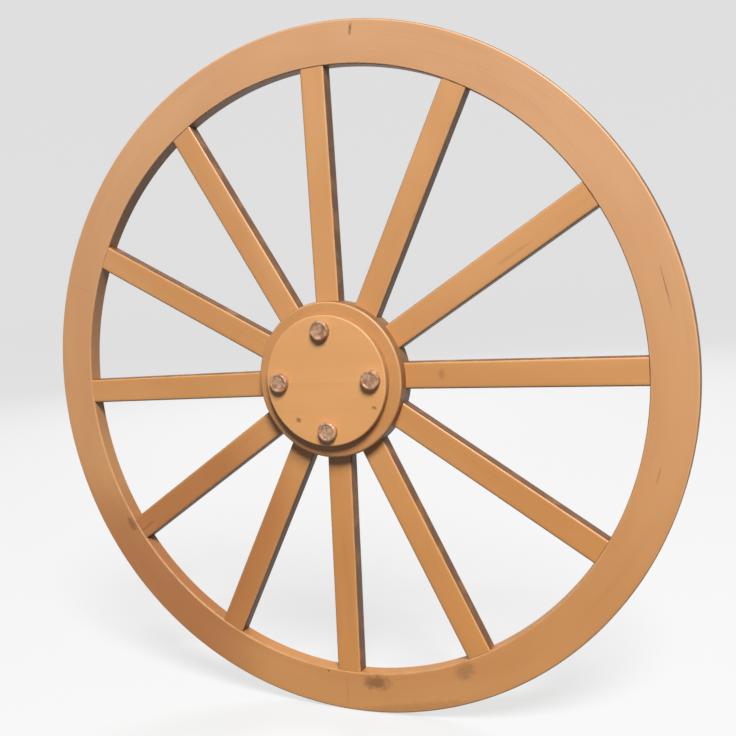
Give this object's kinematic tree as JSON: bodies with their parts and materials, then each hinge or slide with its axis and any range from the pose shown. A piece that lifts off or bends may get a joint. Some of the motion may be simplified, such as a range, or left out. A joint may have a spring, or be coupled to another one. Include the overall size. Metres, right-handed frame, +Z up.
{
  "type": "spoked wooden wheel",
  "caption": "Flat wooden cart or barrow wheel: sawn felloes, straight spokes and a round hub with a bolted cap, turning on a steel sleeve that takes an axle end.",
  "frame": {"origin": "centre of the wheel: on the axle bore's axis, in the middle plane of the rim and spokes", "axes": "+Z up, through the top spoke's place; +Y along the axle bore, out of its open rear mouth; the capped face looks towards -Y; +X to the right as the capped face is seen"},
  "size_m": [0.762, 0.0575, 0.762],
  "materials": {
    "rim_wood": "smooth honey-brown wood, satin, with fine grain that follows the rim",
    "spoke_wood": "smooth honey-brown wood, satin, with fine grain along the spoke",
    "hub_wood": "turned honey-brown wood, satin",
    "cap_wood": "turned honey-brown wood, satin, slightly lighter",
    "dowel_wood": "plain hardwood dowel",
    "bolt_steel": "dull, mottled brownish steel",
    "washer_steel": "dull brownish steel",
    "nut_steel": "dull brownish steel",
    "box_iron": "dark cast iron",
    "sleeve_steel": "turned steel, lightly oiled"
  },
  "bodies": {
    "axle": {"axle_sleeve": "sleeve_steel"},
    "wheel": {"felloe_1": "rim_wood", "felloe_2": "rim_wood", "felloe_3": "rim_wood", "felloe_4": "rim_wood", "felloe_5": "rim_wood", "felloe_6": "rim_wood", "spoke_01": "spoke_wood", "spoke_02": "spoke_wood", "spoke_03": "spoke_wood", "spoke_04": "spoke_wood", "spoke_05": "spoke_wood", "spoke_06": "spoke_wood", "spoke_07": "spoke_wood", "spoke_08": "spoke_wood", "spoke_09": "spoke_wood", "spoke_10": "spoke_wood", "spoke_11": "spoke_wood", "spoke_12": "spoke_wood", "felloe_dowels": "dowel_wood", "hub": "hub_wood", "hub_cap": "cap_wood", "cap_bolts": "bolt_steel", "cap_washers": "washer_steel", "cap_nuts": "nut_steel", "axle_box": "box_iron"}
  },
  "joints": [
    {"name": "wheel_spin", "type": "hinge", "parent": "axle", "child": "wheel", "pos_m": [0, 0, 0], "axis": [0, 1, 0], "continuous": true}
  ]
}
